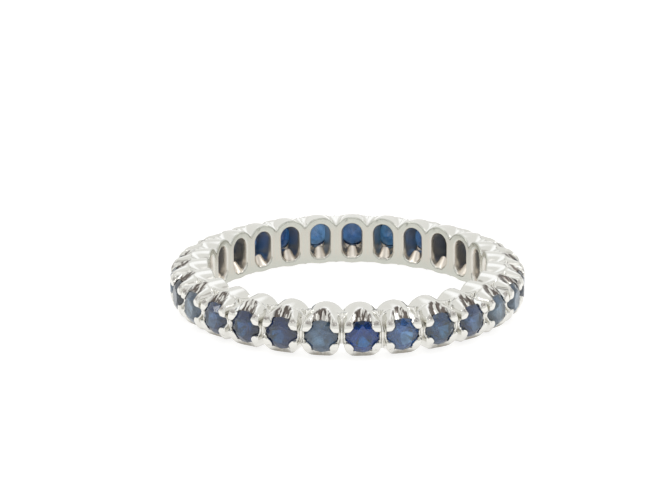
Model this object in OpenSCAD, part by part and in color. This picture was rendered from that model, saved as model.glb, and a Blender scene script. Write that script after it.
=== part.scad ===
// Full eternity ring: round cut stones in one row of open, claw set collets around the whole band.
// The ring lies on its side. The origin is at the middle of its lowest plane and Z is the ring's axis.

/* [Band] */
// Diameter of the hole that the finger goes through
bore_d = 17.2; // [15:0.1:20]
// Height of the band along the finger
band_h = 2.98; // [2.8:0.02:3.5]
// Metal from the hole to the widest plane of the stones
band_wall = 2; // [1.7:0.05:2.4]
// Slot between neighbouring collets at the stones' widest plane
slot_w = 0.2; // [0.12:0.02:0.3]

/* [Stones] */
// Diameter of each stone
stone_d = 2; // [1.8:0.02:2.1]
// Distance from one stone to the next
stone_gap = 0.46; // [0.4:0.02:0.6]
// Diameter of the stone's flat table, across its corners
table_d = 1.16; // [0.9:0.02:1.3]
// Height of the stone above its girdle
crown_h = 0.32; // [0.24:0.01:0.36]
// Thickness of the stone's girdle
girdle_t = 0.06; // [0.04:0.01:0.1]
// Depth of the stone below its girdle
pavilion_h = 0.86; // [0.7:0.02:0.95]

/* [Setting] */
// Clearance between a stone and the metal around it
seat_clear = 0.02; // [0.01:0.005:0.03]
// Metal ledge behind the stone's edge, from the window to the girdle
ledge_t = 0.25; // [0.2:0.01:0.4]
// Width of the window behind each stone
window_w = 1.29; // [1.1:0.01:1.4]
// Metal left above and below each window
window_margin = 0.4; // [0.34:0.01:0.5]
// Rounding of each collet's outer corners, seen from the side
nose_round = 1.1; // [0.9:0.02:1.2]
// Width of the scallop above and below each stone
scallop_w = 1.9; // [1.6:0.02:2]
// How far the scallop's top edge lies inside the stones' widest plane
scallop_set = 0.9; // [0.7:0.02:1.1]
// How far below the stone's edge the scallop reaches at the stone's widest plane
scallop_drop = 0.3; // [0.2:0.01:0.34]
// Width of the rib that backs each scallop inside the window
rib_w = 0.9; // [0.8:0.02:1]
// Thickness of the metal between the rib's crest and the scallop
rib_t = 0.15; // [0.12:0.01:0.2]
// Width of each claw's rounded tip
claw_d = 0.44; // [0.36:0.02:0.5]
// How far the claws reach beyond the stones' widest plane
claw_reach = 0.35; // [0.3:0.01:0.42]
// How far each claw's tip lies over the stone's edge
claw_lap = 0.23; // [0.16:0.01:0.28]
// Angle of the claws above and below the middle of the stone
claw_angle = 36; // [32:1:42]
// Height of the notch between the claws on each side of a stone
notch_h = 0.9; // [0.7:0.02:1]
// Depth of that notch below the stones' widest plane
notch_set = 0.1; // [0:0.01:0.2]

/* [Hidden] */
bore_r = bore_d / 2;
girdle_r = bore_r + band_wall;
mid_h = band_h / 2;
stone_r = stone_d / 2;
stone_count = round(180 / asin((stone_d + stone_gap) / (2 * girdle_r)));
pitch = 360 / stone_count;
cell_w = 2 * girdle_r * tan(pitch / 2) - slot_w;
claw_r = claw_d / 2;
claw_top = girdle_r + claw_reach;
rim_r = girdle_r - scallop_set;
// The outer corners' rounding starts this far above the ridge, so that it leaves a clean edge
nose_drop = 0.02;
ledge_r = girdle_r - ledge_t;
window_h = band_h - 2 * window_margin;
// Steps of the cut stone
girdle_top = girdle_t / 2;
girdle_low = -girdle_t / 2;
table_z = girdle_top + crown_h;
culet_z = girdle_low - pavilion_h;
table_r = table_d / 2;
mains = 8;
main_step = 360 / mains;
// Shares of the way from the edge to the middle that the short facets cover
star_share = 0.5;
lower_share = 0.76;
// Sides of the round surfaces
round_fn = 48;
// Room that a cutter runs past the surface it cuts
past = 0.5;

function stone_name(i) = str("stone_", i < 10 ? "0" : "", i);
function ring_point(r, angle, z) = [r * cos(angle), r * sin(angle), z];

// Local frame of one collet: X along the band, Y along the finger, Z straight out from the ring's axis
module at_cell(i) {
  rotate([0, 0, i * pitch])
    translate([0, 0, mid_h])
      rotate([90, 0, 0])
        children();
}

// Two like halves, above and below the stone
module above_and_below() {
  children();
  mirror([0, 1, 0]) children();
}

module oblong(w, h) {
  for (side = [-1, 1])
    translate([0, side * (h - w) / 2])
      circle(d = w, $fn = round_fn);
  square([w, h - w], center = true);
}

module collet_blank() {
  translate([0, 0, bore_r - past])
    linear_extrude(band_wall + claw_reach + past)
      oblong(cell_w, band_h);
}

// Side view of a collet, with its axis along X: rounded outer corners, cut back between the claws
module side_outline() {
  notch_r = notch_h / 2;
  notch_mid = girdle_r - notch_set + notch_r;
  corner_r = claw_top - nose_round;
  corner_h = mid_h + nose_drop - nose_round;
  difference() {
    union() {
      for (side = [-1, 1])
        translate([corner_r, side * corner_h]) circle(nose_round, $fn = 2 * round_fn);
      translate([bore_r - 2 * past, -mid_h - past])
        square([corner_r - bore_r + 2 * past, band_h + 2 * past]);
      translate([corner_r - past, -corner_h]) square([nose_round + past, 2 * corner_h]);
    }
    translate([notch_mid, 0]) circle(notch_r, $fn = round_fn);
    translate([notch_mid, -notch_r]) square([claw_reach + past, notch_h]);
  }
}

module collet_side() {
  rotate([0, -90, 0])
    linear_extrude(cell_w + 2 * past, center = true)
      side_outline();
}

module window() {
  difference() {
    translate([0, 0, bore_r - 2 * past])
      linear_extrude(ledge_r - bore_r + 2 * past)
        oblong(window_w, window_h);
    above_and_below() scallop_cylinder(rib_w / 2, -rib_t);
  }
}

// A cylinder that touches the scallop's floor line, or a line inset from it towards the window
module scallop_cylinder(r, inset) {
  a = [mid_h, rim_r];
  b = [stone_r - scallop_drop, girdle_r];
  len = norm(b - a);
  along = (b - a) / len;
  outward = [along[1], -along[0]];
  start = a + outward * (r + inset) - along * past;
  translate([0, start[0], start[1]])
    rotate([atan2(-along[0], along[1]), 0, 0])
      cylinder(r = r, h = len + 2 * past, $fn = 2 * round_fn);
}

// The room that the stone takes, with its clearance
module stone_seat() {
  translate([0, 0, girdle_r])
    rotate_extrude($fn = 2 * round_fn)
      polygon([
        [0, culet_z - seat_clear],
        [stone_r + seat_clear, girdle_low - seat_clear],
        [stone_r + seat_clear, girdle_top + seat_clear],
        [table_r + seat_clear, table_z + seat_clear],
        [0, table_z + seat_clear]
      ]);
}

// The straight hole above the seat, which the stone is dropped through before the claws close
module stone_well() {
  translate([0, 0, girdle_r])
    cylinder(r = stone_r + seat_clear, h = claw_reach + past, $fn = 2 * round_fn);
}

// The rounded tip that closes each post over the stone's edge
module claw() {
  middle = stone_r - claw_lap + claw_r;
  translate([middle * cos(claw_angle), middle * sin(claw_angle), claw_top - claw_r])
    sphere(claw_r, $fn = round_fn);
}

module cell() {
  difference() {
    union() {
      difference() {
        intersection() {
          collet_blank();
          collet_side();
        }
        stone_well();
      }
      for (x = [0, 1])
        mirror([x, 0, 0]) above_and_below() claw();
    }
    stone_seat();
    above_and_below() scallop_cylinder(scallop_w / 2, 0);
    window();
  }
}

module band() {
  color("gainsboro")
    difference() {
      union()
        for (i = [1:stone_count]) at_cell(i - 1) cell();
      translate([0, 0, -past])
        cylinder(r = bore_r, h = band_h + 2 * past, $fn = 4 * round_fn);
    }
}

// A round cut stone, table outwards
module stone(i) {
  girdle_step = main_step / 2;
  edge_mid = table_r * cos(girdle_step);
  star_r = edge_mid + star_share * (stone_r - edge_mid);
  star_z = table_z - crown_h * (star_r * cos(girdle_step) - table_r) / (stone_r - table_r);
  lower_r = stone_r * (1 - lower_share);
  lower_z = culet_z + pavilion_h * lower_r * cos(girdle_step) / stone_r;
  corners = 2 * mains;
  rings = concat(
    [for (k = [0:mains - 1]) ring_point(table_r, k * main_step, table_z)],
    [for (k = [0:mains - 1]) ring_point(star_r, (k + 0.5) * main_step, star_z)],
    [for (k = [0:corners - 1]) ring_point(stone_r, k * girdle_step, girdle_top)],
    [for (k = [0:corners - 1]) ring_point(stone_r, k * girdle_step, girdle_low)],
    [for (k = [0:mains - 1]) ring_point(lower_r, (k + 0.5) * main_step, lower_z)],
    [[0, 0, culet_z]]
  );
  star = mains;
  top = 2 * mains;
  low = top + corners;
  lower = low + corners;
  culet = lower + mains;
  faces = concat(
    [[for (k = [mains - 1:-1:0]) k]],
    [for (k = [0:mains - 1]) [k, (k + 1) % mains, star + k]],
    [for (k = [0:mains - 1]) [k, star + k, top + 2 * k, star + (k + mains - 1) % mains]],
    [for (k = [0:mains - 1]) [star + k, top + 2 * k + 1, top + 2 * k]],
    [for (k = [0:mains - 1]) [star + k, top + (2 * k + 2) % corners, top + 2 * k + 1]],
    [for (k = [0:corners - 1]) [top + k, top + (k + 1) % corners, low + (k + 1) % corners, low + k]],
    [for (k = [0:mains - 1]) [lower + k, low + 2 * k, low + 2 * k + 1]],
    [for (k = [0:mains - 1]) [lower + k, low + 2 * k + 1, low + (2 * k + 2) % corners]],
    [for (k = [0:mains - 1]) [culet, lower + (k + mains - 1) % mains, low + 2 * k, lower + k]]
  );
  color("royalblue")
    at_cell(i)
      translate([0, 0, girdle_r])
        polyhedron(rings, faces);
}

band();
for (i = [1:stone_count])
  stone(i - 1);
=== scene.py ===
import math

import bpy
import numpy as np
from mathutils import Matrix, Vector


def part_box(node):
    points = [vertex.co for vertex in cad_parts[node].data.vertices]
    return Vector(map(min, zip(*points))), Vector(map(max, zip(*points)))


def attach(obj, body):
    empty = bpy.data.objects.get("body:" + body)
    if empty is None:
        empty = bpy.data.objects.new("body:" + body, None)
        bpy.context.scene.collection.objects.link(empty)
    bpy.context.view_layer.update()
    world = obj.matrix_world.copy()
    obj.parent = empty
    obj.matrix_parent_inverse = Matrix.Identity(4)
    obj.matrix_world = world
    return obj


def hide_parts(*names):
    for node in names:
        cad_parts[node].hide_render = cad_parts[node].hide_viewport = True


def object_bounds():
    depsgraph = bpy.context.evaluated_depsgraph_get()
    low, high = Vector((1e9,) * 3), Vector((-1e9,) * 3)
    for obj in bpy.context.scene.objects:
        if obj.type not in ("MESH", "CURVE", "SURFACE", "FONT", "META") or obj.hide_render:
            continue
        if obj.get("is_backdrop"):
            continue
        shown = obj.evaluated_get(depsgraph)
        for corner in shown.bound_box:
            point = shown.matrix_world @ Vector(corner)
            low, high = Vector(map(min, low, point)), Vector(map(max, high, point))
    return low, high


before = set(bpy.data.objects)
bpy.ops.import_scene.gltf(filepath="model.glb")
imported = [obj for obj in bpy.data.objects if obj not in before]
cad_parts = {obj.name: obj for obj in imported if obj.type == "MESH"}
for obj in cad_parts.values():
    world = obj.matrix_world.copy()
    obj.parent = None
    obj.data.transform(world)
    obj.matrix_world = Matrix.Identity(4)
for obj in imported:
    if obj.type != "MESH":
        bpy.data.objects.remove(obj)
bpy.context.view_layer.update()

# The cast band: one lost wax casting in white gold, 27 upright barrel shaped collets side by side. Each has
# a window into the bore, a scallop above and below its stone and a notch on either side, and what is left
# between them closes over the stone as four claws. It is barrel polished, so its edges are soft.

MM = 0.001
stone_names = sorted(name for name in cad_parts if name.startswith("stone"))
count = len(stone_names)
pitch = 2 * math.pi / count
band_low, band_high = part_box("band")
band_h = band_high.z / MM
claw_top = -band_low.y / MM
mid_h = band_h / 2

# Sizes are in mm. Radii run from the ring's axis, and heights from the middle of the band.
bore_r = 8.6
girdle_r = bore_r + 2.0
collet_w = 2.28

# The crest of a collet, above and below: its height, and how fast it falls away outwards, which only its
# highest part does
ridge_h = (mid_h + 0.09, mid_h + 0.002)
ridge_fall = (0.08, 0.005)
fall_from, fall_over, fall_length = 0.9, 0.4, 1.7
# The rounding of its outer corners, which is let out near the bore so that the crest stays full there
nose_r = 1.15
ridge_lift = 0.10
lift_to, lift_over = girdle_r - 0.65, 0.35

# The web that joins two collets: its outer edge, which is set back towards the bore further up and down,
# and its upper and lower faces, each by its height at the bore and its slope outwards
web_r = girdle_r - 0.18
web_set = 0.70
set_from, set_over = 0.25, 0.75
web_top = (0.98, 0.31)
web_low = (1.42, -0.34)
web_lap = 0.01

# The scallop: a round cutter along a line from its foot on the crest to its lip at the stone, each given by
# height and radius. Below the stone the foot lies further out.
scallop_r = 0.95
scallop_foot = (1.49, girdle_r - 0.87)
scallop_lip = (0.7, girdle_r)
low_foot = 0.22
# Depth and width of the waves that the polishing mop left across it, and their share below the stone
mop_waves = ((0.010, 0.62), (0.006, 0.37), (0.003, 0.23))
low_waves = 0.3

# The window, with its flared mouth in the bore, up to the ledge behind the stone
window_w = 1.18
window_h = 2.18
flare = 0.07
flare_depth = 0.35
ledge_r = girdle_r - 0.25
# The rib that backs each scallop in there, and the metal between the two
rib_r = 0.45
rib_wall = 0.15
# The tongue that rises from the window's floor: at three radii, its crest's depth and its rounding
tongue_at = (bore_r, bore_r + 0.55, ledge_r)
tongue_crest = (1.13, 0.45, 0.80)
tongue_r = (0.56, 0.33, 0.27)

# The notch on either side of a stone, the seat cut for the stone, and the opening left between the claws
notch_r = 0.34
seat_r = 1.02
seat_drop = 0.05
culet_r = girdle_r - 0.91
crown_foot = girdle_r + seat_drop
crown_slope = (0.606, 0.795)
claw_reach = 0.77
# The shallow crease above each claw: its place aside, up and out, and how it is stretched sideways and up
dent_place = (0.80, 0.90, girdle_r + 0.3)
dent_shape = (1.3, 0.8)
dent_r = 0.14

# How wide each kind of edge is rounded, that of the web by two widths at two radii
cast_soft = 0.09
corner_soft = 0.16
rim_soft = 0.05
claw_soft = 0.16
seat_soft = 0.03
joint_soft = 0.12
web_soft = ((bore_r, bore_r + 1.0), (0.12, 0.16))
bore_soft = 0.11

# No two collets came out of the wax quite alike: how far each leans, where its scallops, notches and
# creases sit, how deep the creases are, and where the mop's waves fall.
chance = np.random.default_rng(27)
lean = chance.normal(0, 0.012, count)
scallop_shift = chance.normal(0, 0.025, count)
notch_shift = chance.normal(0, 0.02, count)
dent_depth = chance.uniform(0.6, 1.15, (count, 4))
dent_shift = chance.normal(0, 0.04, (count, 4))
wave_phase = chance.uniform(0, 2 * math.pi, (count, 3))
# The web left of the first stone is filed deeper than the others, above and below, and the web left of the
# last stone a little deeper below.
web_dip = np.zeros((2, count))
web_dip[:, 0] = 0.12, 0.42
web_dip[1, -1] = 0.12


def soft_min(a, b, blend):
    """The smaller of two distances, with the corner where they meet filled out over a width."""
    meet = np.maximum(blend - np.abs(a - b), 0) / blend
    return np.minimum(a, b) - meet * meet * blend / 4


def soft_max(a, b, blend):
    """The larger of two distances, with the corner where they meet rounded off over a width."""
    return -soft_min(-a, -b, blend)


def beyond(place, start, fade):
    """0 short of a start, rising to 1 past it over a width."""
    return np.clip((place - start) / fade, 0, 1)


def within(place, end, fade):
    """1 well short of an end, falling to 0 there over a width."""
    return np.clip((end - place) / fade, 0, 1)


def barrel(x, y, z):
    """How far a point lies outside a collet's plain barrel, before anything is cut from it."""
    high = np.abs(y)
    fall = np.where(y > 0, *ridge_fall) * np.clip(z - bore_r, 0, fall_length) ** 2
    crest = high + fall * beyond(high, fall_from, fall_over)
    ridge = np.where(y > 0, *ridge_h)
    upright = np.hypot(x, np.maximum(crest - (ridge - collet_w / 2), 0)) - collet_w / 2
    past_out, past_up = z - (claw_top - nose_r), crest - (ridge - nose_r)
    side = (np.hypot(np.maximum(past_out, 0), np.maximum(past_up, 0))
            + np.minimum(np.maximum(past_out, past_up), 0) - nose_r)
    return soft_max(upright, side - ridge_lift * within(z, lift_to, lift_over), corner_soft)


def web(x, y, z, cell):
    """How far a point lies outside the web that joins its collet to the neighbour on the point's side."""
    gap = (cell + (x > 0)) % count
    top = web_top[0] - web_dip[0, gap] + web_top[1] * (z - bore_r)
    low = web_low[0] - web_dip[1, gap] + web_low[1] * (z - bore_r)
    edge = web_r - web_set * beyond(np.abs(y), set_from, set_over)
    border = np.abs(x) * math.cos(pitch / 2) - z * math.sin(pitch / 2) - web_lap
    return np.maximum.reduce([border, z - edge, y - top, -y - low])


def scallop_place(y, z):
    """A point's place by the nearer scallop: how far out from its floor's line, and how far along it."""
    foot_y, foot_z = scallop_foot[0], scallop_foot[1] + np.where(y < 0, low_foot, 0)
    along_y, along_z = scallop_lip[0] - foot_y, scallop_lip[1] - foot_z
    length = np.hypot(along_y, along_z)
    up, out = np.abs(y) - foot_y, z - foot_z
    return (along_z * up - along_y * out) / length, (along_y * up + along_z * out) / length


def scallop_cut(x, y, z, cell):
    """How far a point lies outside the scallop's cutter, whose face carries the waves of the polishing."""
    out = scallop_place(y, z)[0]
    x = x - scallop_shift[cell]
    arc = scallop_r * np.arctan2(x, scallop_r - out)
    waves = sum(
        size * np.sin(2 * math.pi * arc / width + wave_phase[cell, k])
        for k, (size, width) in enumerate(mop_waves))
    return np.hypot(x, out - scallop_r) - scallop_r + waves * np.where(y < 0, low_waves, 1)


def tongue(x, y, z):
    """How far a point lies outside the rounded tongue that rises from the window's floor."""
    crest = np.interp(z, tongue_at, tongue_crest)
    r = np.interp(z, tongue_at, tongue_r)
    return np.hypot(x, np.maximum(crest + r + y, 0)) - r


def window_cut(x, y, z):
    """How far a point lies outside the window's cutter, which leaves the ribs and the tongue standing."""
    rib = np.hypot(x, scallop_place(y, z)[0] - rib_r + rib_wall) - rib_r
    mouth = flare * np.clip(1 - (z - bore_r) / flare_depth, 0, 1) ** 2
    tunnel = np.hypot(x, np.maximum(np.abs(y) - (window_h - window_w) / 2, 0)) - window_w / 2 - mouth
    opening = soft_max(soft_max(tunnel, z - ledge_r, cast_soft), -rib, cast_soft)
    return soft_max(opening, -tongue(x, y, z), cast_soft)


def notch_cut(y, z, cell):
    """How far a point lies outside the notch that runs out between the claws."""
    off = y - notch_shift[cell]
    return np.where(z > claw_top, np.abs(off), np.hypot(off, z - claw_top)) - notch_r


def dent_away(x, y, z, cell, claw):
    """How far a point is from the middle of the crease above a claw."""
    aside = (np.abs(x) - dent_place[0] - dent_shift[cell, claw]) / dent_shape[0]
    up = (np.abs(y) - dent_place[1]) / dent_shape[1]
    return np.sqrt(aside ** 2 + up ** 2 + (z - dent_place[2]) ** 2)


def seat_cut(off_axis, z):
    """How far a point lies outside the room cut for the stone, given how far it is off the stone's axis."""
    depth = girdle_r - seat_drop - culet_r
    fall = math.hypot(depth, seat_r)
    pavilion = (off_axis - seat_r) * depth / fall - (z - girdle_r + seat_drop) * seat_r / fall
    crown = (off_axis - seat_r) * crown_slope[0] + (z - crown_foot) * crown_slope[1]
    return np.maximum(np.maximum(pavilion, crown), off_axis - seat_r)


def collet(x, y, z, cell):
    """How far a point lies outside one collet's metal: x along the band, y along the finger, z out."""
    x = x + lean[cell] * y
    off_axis = np.hypot(x, y)
    claw = (x > 0) + 2 * (y > 0)
    solid = soft_min(barrel(x, y, z), web(x, y, z, cell), np.interp(z, *web_soft))
    solid = soft_max(solid, -window_cut(x, y, z), cast_soft)
    solid = soft_max(solid, -scallop_cut(x, y, z, cell), rim_soft)
    solid = soft_max(solid, -notch_cut(y, z, cell), cast_soft)
    solid = soft_max(solid, dent_r * dent_depth[cell, claw] - dent_away(x, y, z, cell, claw), rim_soft)
    solid = soft_max(solid, -soft_max(off_axis - claw_reach, girdle_r - z, cast_soft), claw_soft)
    return soft_max(solid, -seat_cut(off_axis, z), seat_soft)


def nearest_collet(angle):
    """Which collet an angle round the ring belongs to, and the angle from the middle of that collet."""
    own = (angle + pitch / 2) % pitch - pitch / 2
    return np.rint((angle - own) / pitch).astype(int) % count, own


def metal(angle, r, z):
    """How far a point of the ring lies outside the metal: neighbouring collets flow into each other."""
    cell, own = nearest_collet(angle)
    parts = []
    for step in (-1, 0, 1):
        off = own - step * pitch
        parts.append(collet(r * np.sin(off), z - mid_h, r * np.cos(off), (cell + step) % count))
    joined = soft_min(soft_min(parts[0], parts[1], joint_soft), parts[2], joint_soft)
    return soft_max(joined, bore_r - r, bore_soft)


def metal_at(points):
    """The same for points in the ring's own frame, a row of x, y and z for each."""
    x, y, z = points[:, 0], points[:, 1], points[:, 2]
    return metal(np.arctan2(x, -y), np.hypot(x, y), z)


def slope(points, step=0.004, flattest=0.3, tiny=1e-9):
    """The way out of the metal at each point, and how far that way it lies from the surface."""
    away = metal_at(points)
    rise = np.stack(
        [metal_at(points + step * axis) - metal_at(points - step * axis) for axis in np.eye(3)], 1)
    size = np.linalg.norm(rise, axis=1, keepdims=True)
    return rise / np.maximum(size, tiny), away / np.maximum(size[:, 0] / (2 * step), flattest)


def settle(points, rounds=3, longest=0.05):
    """Moves points that are near the surface onto it, and returns them with the way out at each."""
    for _ in range(rounds):
        facing, away = slope(points)
        points = points - facing * np.clip(away, -longest, longest)[:, None]
    return points, slope(points)[0]


def skin(distance, angles, heights, radii):
    """Points and four sided faces of the surface, one point for each grid cube that it passes through."""
    turns, ups, outs = np.meshgrid(angles, heights, radii, indexing="ij")
    away = distance(turns, outs, ups)
    inside = away < 0
    total = np.zeros((3, *away.shape))
    hits = np.zeros(away.shape)
    crossings = []
    for axis in range(3):
        crossed = inside != np.roll(inside, -1, axis)
        share = np.where(crossed, away / np.where(crossed, away - np.roll(away, -1, axis), 1), 0)
        crossings.append(crossed)
        first, second = (other for other in range(3) if other != axis)
        for one, two in ((0, 0), (0, 1), (1, 0), (1, 1)):
            here, part = (np.roll(values, (-one, -two), (first, second)) for values in (crossed, share))
            hits += here
            total[axis] += part
            total[first] += one * here
            total[second] += two * here
    index = np.full(away.shape, -1)
    used = np.nonzero(hits)
    index[used] = np.arange(len(used[0]))
    place = [used[axis] + total[axis][used] / hits[used] for axis in range(3)]
    turn = place[0] * (angles[1] - angles[0]) + angles[0]
    height = np.interp(place[1], np.arange(len(heights)), heights)
    r = np.interp(place[2], np.arange(len(radii)), radii)
    points = np.stack([r * np.sin(turn), -r * np.cos(turn), height], 1)

    faces = []
    for axis, pair in enumerate(((1, 2), (2, 0), (0, 1))):
        corners = np.stack([np.roll(index, shift, pair) for shift in ((1, 1), (0, 1), (0, 0), (1, 0))], -1)
        quads = corners[crossings[axis]]
        entering = ~inside[crossings[axis]]
        quads[entering] = quads[entering][:, ::-1]
        faces.append(quads[(quads >= 0).all(1)])
    return points, np.concatenate(faces)


def mesh_object(name, points, faces):
    mesh = bpy.data.meshes.new(name)
    mesh.from_pydata(points.tolist(), [], [tuple(face) for face in faces])
    piece = bpy.data.objects.new(name, mesh)
    bpy.context.scene.collection.objects.link(piece)
    return piece


# The surface is found on a grid round the ring, then thinned out and laid onto the metal once more. The
# grid has a coarse part near the bore and a fine one further out, each from a radius to a radius in steps.
across, upwards = 34, 46
margin = 0.06
coarse_part, fine_part = (bore_r - margin, bore_r + 0.9, 9), (9.575, 11.09, 23)
most_triangles = 192000
angles = np.arange(count * across) * pitch / across
heights = np.linspace(-margin, band_h + margin, upwards)
radii = np.concatenate([np.linspace(*coarse_part), np.linspace(*fine_part)])
points, faces = skin(metal, angles, heights, radii)
band = mesh_object("cast_band", settle(points)[0], faces)
thin = band.modifiers.new("thin", "DECIMATE")
thin.ratio = most_triangles / (2 * len(faces))
bpy.context.view_layer.update()
thinned = bpy.data.meshes.new_from_object(band.evaluated_get(bpy.context.evaluated_depsgraph_get()))
band.modifiers.clear()
band.data = thinned
flat = np.empty(len(thinned.vertices) * 3)
thinned.vertices.foreach_get("co", flat)
points, facing = settle(flat.reshape(-1, 3))
thinned.vertices.foreach_set("co", (points * MM).ravel())
thinned.shade_smooth()
thinned.normals_split_custom_set_from_vertices(facing)


def store(mesh, name, values):
    """Keeps a value for each point of a mesh, for its material to read."""
    kind, key = ("FLOAT_VECTOR", "vector") if values.ndim == 2 else ("FLOAT", "value")
    mesh.attributes.new(name, kind, "POINT").data.foreach_set(key, values.astype(np.float32).ravel())


# How far each finish and each painted shade and light reaches, with the width over which it fades
near_cut, near_tongue = (0.06, 0.04), (0.08, 0.05)
near_dent = (1.6 * dent_r, 0.7 * dent_r)
streak_aside = (0.66, 0.16)
lip_up, lip_out, lip_aside = (0.95, 0.25), (9.3, 0.3), (0.95, 0.3)
strip_aside, strip_up = (0.60, 0.25), (1.05, 0.5)
wall_t, wall_fade, mouth_t = 0.10, 0.08, 0.03
# How much of the scallops' darker streaks and of the creases' dirt and painted shade there is below the
# stones
low_streaks, low_dent_darkening = 0.2, 0.15
# The distances out of the metal at which other metal close by makes a place a crevice
probes = (0.06, 0.12, 0.24)

radius = np.hypot(points[:, 0], points[:, 1])
cell, own = nearest_collet(np.arctan2(points[:, 0], -points[:, 1]))
local = radius * np.sin(own), points[:, 2] - mid_h, radius * np.cos(own)
aside, high, below = np.abs(local[0]), np.abs(local[1]), local[1] < 0
claw = (local[0] > 0) + 2 * (local[1] > 0)
out, along = scallop_place(*local[1:])
arc = scallop_r * np.arctan2(local[0], scallop_r - out)
finishes_and_shading = {
    # The place across and along a scallop and the collet's number, for the mop's marks, and where darker
    # streaks lie in them: old polish, and painted dark reflection
    "mop_marks": np.stack([arc, along, cell], 1),
    "in_scallop": (within(np.abs(scallop_cut(*local, cell)), *near_cut) * (radius > bore_r + wall_t)
                   * within(np.abs(arc), *streak_aside) * np.where(below, low_streaks, 1)),
    # The walls inside the windows, left as they were cast and lighter as painted light, and the tongues
    # there, warmer as painted light
    "in_window": (within(np.abs(window_cut(*local)), *near_cut)
                  * beyond(radius, bore_r + mouth_t, wall_fade)),
    "on_tongue": (within(np.abs(tongue(*local)), *near_tongue) * beyond(radius, bore_r, wall_fade)
                  * (radius < ledge_r)),
    # The creases above the claws, darkened as dirt and as painted shade, and the underside of the lower
    # lips, darkened as painted shade
    "in_dent": (within(dent_away(*local, cell, claw), *near_dent) * dent_depth[cell, claw]
                * np.where(below, low_dent_darkening, 1)),
    "low_lip": beyond(-local[1], *lip_up) * beyond(local[2], *lip_out) * within(aside, *lip_aside),
    # The strips between the windows, and the whole satin wall of the bore, both darker than the polished
    # metal as painted shade, the strips a warmer shade
    "between": beyond(aside, *strip_aside) * within(high, *strip_up),
    "in_bore": within(radius, bore_r + wall_t, wall_fade),
    # Wherever other metal is close by, where polishing doesn't reach: darkened there both as polish residue
    # and as painted shade
    "crevice": sum(
        1 - np.clip(metal_at(points + facing * reach) / reach, 0, 1) for reach in probes) / len(probes),
}
for stored_name, values in finishes_and_shading.items():
    store(thinned, stored_name, values)


class Shade:
    """A socket of a node tree, so that shader maths reads as plain maths, or only the tree itself."""

    def __init__(self, tree, socket=None):
        self.tree, self.socket = tree, socket

    def node(self, kind, settings=None, out=0, **sockets):
        """Makes a node with its settings and sockets, which go by their names or by number, as i0."""
        made = self.tree.nodes.new(kind)
        for key, value in (settings or {}).items():
            if key == "stops":
                ramp = made.color_ramp
                while len(ramp.elements) < len(value):
                    ramp.elements.new(1)
                for element, (place, colour) in zip(ramp.elements, value):
                    element.position, element.color = place, colour
            else:
                setattr(made, key, value)
        for key, value in sockets.items():
            numbered = key[0] == "i" and key[1:].isdigit()
            socket = made.inputs[int(key[1:]) if numbered else key.replace("_", " ")]
            if isinstance(value, Shade):
                self.tree.links.new(value.socket, socket)
            else:
                socket.default_value = value
        return Shade(self.tree, made.outputs[out])

    def maths(self, operation, other=0.0, swap=False):
        pair = (other, self) if swap else (self, other)
        return self.node("ShaderNodeMath", {"operation": operation}, i0=pair[0], i1=pair[1])

    def __add__(self, other):
        return self.maths("ADD", other)

    def __radd__(self, other):
        return self.maths("ADD", other, swap=True)

    def __sub__(self, other):
        return self.maths("SUBTRACT", other)

    def __rsub__(self, other):
        return self.maths("SUBTRACT", other, swap=True)

    def __mul__(self, other):
        return self.maths("MULTIPLY", other)

    def __rmul__(self, other):
        return self.maths("MULTIPLY", other, swap=True)

    def __abs__(self):
        return self.maths("ABSOLUTE")

    def ramp(self, start, end):
        """0 on the start's side and 1 on the end's, whichever is higher, and smooth between them."""
        return self.node("ShaderNodeMapRange", {"interpolation_type": "SMOOTHSTEP"}, Value=self,
                         From_Min=start, From_Max=end)

    def blend(self, low, high):
        """A colour between two others, with this socket's value as the share of the second."""
        return self.node("ShaderNodeMix", {"data_type": "RGBA"}, 2, i0=self, i6=low, i7=high)

    def scaled(self, factors):
        """A vector with each of its parts multiplied by a number."""
        return self.node("ShaderNodeVectorMath", {"operation": "MULTIPLY"}, i0=self, i1=factors)

    def stored(self, name, out="Fac"):
        """What a mesh keeps under a name for each of its points."""
        return self.node("ShaderNodeAttribute", {"attribute_name": name}, out)


def new_material(name, settings):
    """A material, its shader, whose even values are set on its own sockets, and a maker of its nodes."""
    material = bpy.data.materials.new(name)
    material.use_nodes = True
    shader = material.node_tree.nodes["Principled BSDF"]
    for key, value in settings.items():
        shader.inputs[key].default_value = value
    return material, shader, Shade(material.node_tree)


def feed(node, socket, value):
    value.tree.links.new(value.socket, node.inputs[socket])


# The metal's colours, as cast, as polished and as it has aged, and those painted as shade and as light
polished = (0.765, 0.755, 0.715, 1)
shaded_bore_wall = (0.575, 0.58, 0.525, 1)
shaded_bore_strip = (0.62, 0.565, 0.49, 1)
lit_cast_wall = (0.84, 0.80, 0.74, 1)
lit_tongue = (0.80, 0.735, 0.65, 1)
painted_lip_shade = (0.28, 0.265, 0.225, 1)
old_polish_and_reflection = (0.085, 0.062, 0.052, 1)
dent_dirt_and_shade = (0.11, 0.08, 0.065, 1)
grime_and_shade = (0.36, 0.33, 0.28, 1)

gold, gold_shader, cast = new_material("white_gold", {"Metallic": 1.0})
in_bore, in_window, on_tongue = cast.stored("in_bore"), cast.stored("in_window"), cast.stored("on_tongue")
in_scallop, in_dent, low_lip = cast.stored("in_scallop"), cast.stored("in_dent"), cast.stored("low_lip")
where = cast.node("ShaderNodeTexCoord", out="Object")
cloud = cast.node("ShaderNodeTexNoise", Vector=where, Scale=900.0, Detail=3.0)
grit = cast.node("ShaderNodeTexNoise", Vector=where, Scale=6000.0, Detail=2.0)
along_marks = cast.stored("mop_marks", "Vector").scaled((5.5, 1.6, 7.3))
streak = cast.node("ShaderNodeTexNoise", Vector=along_marks, Scale=1.0, Detail=2.0)
# Darkening where other metal is close by: polish residue, and painted shade in the crevices
residue_and_shade = (cast.stored("crevice") + cloud * 0.3).ramp(0.62, 1.15)
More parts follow.
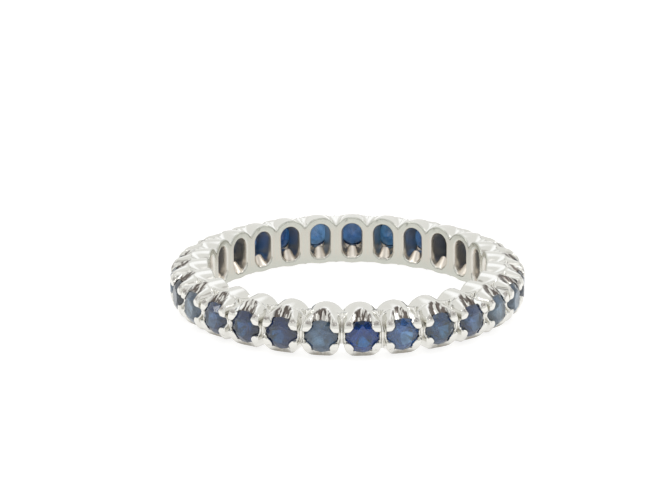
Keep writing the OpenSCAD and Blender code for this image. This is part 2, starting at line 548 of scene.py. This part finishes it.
# Each layer over the polished metal, finishes, dirt, painted shade and painted light: where it lies, and
# its colour
# The bore's wall darker as painted shade, warmer on the strips between the windows
surface = in_bore.blend(polished, cast.stored("between").blend(shaded_bore_wall, shaded_bore_strip))
for layer, colour in (
    # painted light on the window walls, which are also left rough as cast
    (in_window, lit_cast_wall),
    # warm painted light on the tongues
    (on_tongue, lit_tongue),
    # painted shade on the underside of the lower lips
    (0.85 * low_lip, painted_lip_shade),
    # darker streaks in the scallops, old polish and painted dark reflection
    (0.9 * streak.ramp(0.43, 0.52) * in_scallop, old_polish_and_reflection),
    # dirt and painted shade in the creases above the claws
    (0.75 * in_dent * (cloud + 0.4), dent_dirt_and_shade),
    # painted shade and polish residue in the crevices, less inside the windows
    ((0.7 - 0.55 * in_window) * residue_and_shade, grime_and_shade),
):
    surface = layer.blend(surface, colour)
feed(gold_shader, "Base Color", surface)
feed(gold_shader, "Roughness", 0.10 + 0.14 * in_bore + 0.24 * in_window + 0.03 * grit + 0.15 * residue_and_shade)
brushed = cast.node("ShaderNodeBump", Strength=in_scallop * 0.9, Distance=0.01 * MM, Height=streak)
peel = cast.node("ShaderNodeBump", Strength=0.5, Distance=0.002 * MM, Height=cloud + 0.1 * grit,
                 Normal=brushed)
feed(gold_shader, "Normal", peel)
band.data.materials.clear()
band.data.materials.append(gold)
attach(band, "root")
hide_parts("band")

# The stones: 27 natural blue sapphires, round brilliants of 2 mm that are all cut alike. They are set with
# their facets turned at random, and their blues differ: some are inky, some milky, some bright.

stone_r = 1.0
table_r = 0.58
girdle_t = 0.06
crown_h = 0.32
pavilion_h = 0.86
star_share = 0.5
lower_share = 0.76
mains = 8


def brilliant():
    """Points and faces of the cut stone, with its table towards +Z."""
    def ring(r, z, steps, offset=0.0):
        return [(r * math.cos(a), r * math.sin(a), z)
                for a in ((k + offset) * 2 * math.pi / steps for k in range(steps))]
    half = math.pi / mains
    table_z, culet_z = girdle_t / 2 + crown_h, -girdle_t / 2 - pavilion_h
    edge_mid = table_r * math.cos(half)
    star_r = edge_mid + star_share * (stone_r - edge_mid)
    star_z = table_z - crown_h * (star_r * math.cos(half) - table_r) / (stone_r - table_r)
    lower_r = stone_r * (1 - lower_share)
    lower_z = culet_z + pavilion_h * lower_r * math.cos(half) / stone_r
    around = 2 * mains
    points = (ring(table_r, table_z, mains) + ring(star_r, star_z, mains, 0.5)
              + ring(stone_r, girdle_t / 2, around) + ring(stone_r, -girdle_t / 2, around)
              + ring(lower_r, lower_z, mains, 0.5) + [(0, 0, culet_z)])
    star, top = mains, 2 * mains
    low = top + around
    lower = low + around
    culet = lower + mains
    faces = [tuple(range(mains))]
    for k in range(mains):
        after, before = (k + 1) % mains, (k - 1) % mains
        right, far = 2 * k + 1, (2 * k + 2) % around
        faces += [
            (k, star + k, after), (k, star + before, top + 2 * k, star + k),
            (star + k, top + 2 * k, top + right), (star + k, top + right, top + far),
            (lower + k, low + right, low + 2 * k), (lower + k, low + far, low + right),
            (culet, lower + k, low + 2 * k, lower + before)]
    faces += [(top + k, low + k, low + (k + 1) % around, top + (k + 1) % around) for k in range(around)]
    return np.array(points), faces


def darker(colour, share):
    return tuple(share * part for part in colour[:3]) + (1,)


blues = {
    # Each blue's colour, the share of light that goes through it, and how strongly its depth darkens it
    "inky": ((0.15, 0.25, 0.30, 1), 0.86, 2000.0),
    "navy": ((0.13, 0.29, 0.45, 1), 0.90, 1900.0),
    "royal": ((0.07, 0.43, 0.82, 1), 0.94, 1500.0),
    "bright": ((0.35, 0.57, 0.78, 1), 0.90, 1000.0),
    "violet": ((0.25, 0.40, 0.58, 1), 0.88, 1300.0),
    "teal": ((0.22, 0.43, 0.57, 1), 0.86, 1300.0),
    "steel": ((0.27, 0.43, 0.57, 1), 0.70, 1000.0),
    "pale": ((0.39, 0.54, 0.66, 1), 0.70, 800.0),
}
order = ("royal bright teal violet pale steel navy teal teal inky inky violet teal violet "
         "bright navy royal inky navy teal steel inky pale violet navy navy steel").split()
depth_tint = (0.08, 0.42, 0.76, 1)
zone_share, rim_share, rim_cover = 0.45, 0.25, 0.75
rim_from, rim_over = 0.45, 0.45

sapphires = {}
for blue, (colour, clear, density) in blues.items():
    gem, gem_shader, stone = new_material("sapphire_" + blue, {
        "Roughness": 0.04,
        "IOR": 1.77,
        "Transmission Weight": clear,
    })
    where = stone.node("ShaderNodeTexCoord", out="Object")
    zone = stone.node("ShaderNodeTexNoise", Vector=where, Scale=2000.0, Detail=2.0).ramp(0.35, 0.65)
    body = zone.blend(darker(colour, zone_share), colour)
    # A darker rim painted on each stone, as painted shade
    rim_shade = rim_cover * stone.stored("near_rim")
    feed(gem_shader, "Base Color", rim_shade.blend(body, darker(colour, rim_share)))
    depth = stone.node("ShaderNodeVolumeAbsorption", Color=depth_tint, Density=density)
    feed(gem.node_tree.nodes["Material Output"], "Volume", depth)
    sapphires[blue] = gem

# Each stone's turn in its collet, at random but for the two foremost ones, the last and the first
spins = chance.uniform(0, 2 * math.pi / mains, count)
spins[-1], spins[0] = 0, math.pi / mains
cut_points, cut_faces = brilliant()
for index, (name, blue) in enumerate(zip(stone_names, order)):
    spin = spins[index]
    x = cut_points[:, 0] * math.cos(spin) - cut_points[:, 1] * math.sin(spin)
    y = cut_points[:, 0] * math.sin(spin) + cut_points[:, 1] * math.cos(spin)
    r = girdle_r + cut_points[:, 2]
    angle = index * pitch
    placed = np.stack([
        r * math.sin(angle) + x * math.cos(angle),
        -r * math.cos(angle) + x * math.sin(angle),
        mid_h + y], 1)
    gem = mesh_object("sapphire_" + name[-2:], placed * MM, cut_faces)
    store(gem.data, "near_rim", beyond(np.hypot(x, y), rim_from, rim_over))
    gem.data.materials.append(sapphires[blue])
    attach(gem, "root")
    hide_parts(name)

# The table and the light: a plain white table top in a tent of soft white cloth. High up in front the tent
# is open to strips of lamp and of dark room, with a dark card on each side. High up behind it is brighter,
# and a soft lamp hangs on the left and on the right.

bpy.context.scene.view_settings.view_transform = "Standard"

floor_reach = 3.0
floor = mesh_object("floor", np.array([
    (-floor_reach, -floor_reach, 0), (floor_reach, -floor_reach, 0),
    (floor_reach, floor_reach, 0), (-floor_reach, floor_reach, 0)]), [(0, 1, 2, 3)])
paper = new_material("paper", {
    "Base Color": (0.36, 0.355, 0.35, 1),
    "Roughness": 0.9,
    "Emission Color": (1, 1, 1, 1),
    "Emission Strength": 0.80,
})[0]
floor.data.materials.append(paper)
floor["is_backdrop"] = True

world = bpy.data.worlds.new("studio")
bpy.context.scene.world = world
world.use_nodes = True
sky = Shade(world.node_tree)
outward = sky.node("ShaderNodeTexCoord", out="Generated")
sideways, behind, above = (
    sky.node("ShaderNodeSeparateXYZ", out=letter, Vector=outward) for letter in "XYZ")


def patch(towards, inner, outer):
    """1 in a round patch of the sky about a direction, falling to 0 between two angles in degrees."""
    middle = tuple(Vector(towards).normalized())
    near = sky.node("ShaderNodeVectorMath", {"operation": "DOT_PRODUCT"}, "Value", i0=outward, i1=middle)
    return near.ramp(math.cos(math.radians(outer)), math.cos(math.radians(inner)))


cloth = (0.93, 0.935, 0.92, 1)
bright_cloth = (1.28, 1.30, 1.34, 1)
dark_card = (0.12, 0.12, 0.13, 1)
lamp_band = (1.35, 1.40, 1.45, 1)
# The strips from left to right, each by its place across the tent
room = sky.node("ShaderNodeValToRGB", {"stops": [
    (0.28, (1.0, 1.0, 1.0, 1)),
    (0.33, (0.36, 0.35, 0.32, 1)),
    (0.38, (1.2, 1.2, 1.2, 1)),
    (0.42, (0.42, 0.40, 0.36, 1)),
    (0.46, (1.2, 1.2, 1.2, 1)),
    (0.54, (1.2, 1.2, 1.2, 1)),
    (0.58, (0.40, 0.38, 0.35, 1)),
    (0.62, (1.6, 1.6, 1.6, 1)),
    (0.66, (0.38, 0.36, 0.33, 1)),
    (0.72, (0.55, 0.53, 0.50, 1)),
    (0.77, (1.0, 1.0, 1.0, 1)),
]}, Fac=sideways * 0.5 + 0.5)
opening = behind - 0.25 * abs(sideways)
high_up = above.ramp(0.42, 0.52)
light = (opening.ramp(-0.08, -0.20) * opening.ramp(-0.50, -0.38) * high_up).blend(cloth, room)
light = patch((0.03, 0.56, 0.83), 6, 24).blend(light, bright_cloth)
for side in (-0.43, 0.43):
    light = patch((side, -0.54, 0.72), 7, 13).blend(light, dark_card)
overhead = abs(behind + 0.54).ramp(0.10, 0.06) * abs(sideways).ramp(0.34, 0.26)
light = (overhead * high_up).blend(light, lamp_band)
backdrop = world.node_tree.nodes["Background"]
feed(backdrop, "Color", light)
backdrop.inputs["Strength"].default_value = 1.0

lamp_d, lamp_power = 0.14, 0.16
for name, place in (("left_softbox", (-0.45, -0.10, 0.40)), ("right_softbox", (0.45, 0.05, 0.35))):
    lamp = bpy.data.lights.new(name, "AREA")
    lamp.shape, lamp.size, lamp.energy = "DISK", lamp_d, lamp_power
    holder = bpy.data.objects.new(name, lamp)
    holder.location = place
    holder.rotation_euler = (-Vector(place)).to_track_quat("-Z", "Y").to_euler()
    bpy.context.scene.collection.objects.link(holder)

# The camera: it stands where the ring was seen from, slightly above it and far away, and the picture is
# shifted to frame the ring as the photo does. Its numbers come from a fit to the stones in the photo.

turn, rise, distance = math.radians(-4.799), math.radians(17.883), 0.2707
picture_w = 667
focal_px, shift_px = 4375, (-14.0, 32.1)
sensor_w = 36
middle = Vector((0, 0, mid_h * MM))
back = Vector((math.sin(turn) * math.cos(rise), -math.cos(turn) * math.cos(rise), math.sin(rise)))
camera = bpy.data.objects.new("camera", bpy.data.cameras.new("camera"))
bpy.context.scene.collection.objects.link(camera)
camera.location = middle + back * distance
camera.rotation_euler = back.to_track_quat("Z", "Y").to_euler()
camera.data.sensor_width = sensor_w
camera.data.lens = sensor_w * focal_px / picture_w
camera.data.shift_x, camera.data.shift_y = (shift / picture_w for shift in shift_px)
camera.data.clip_start, camera.data.clip_end = 0.01, 20
bpy.context.scene.camera = camera

low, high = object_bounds()
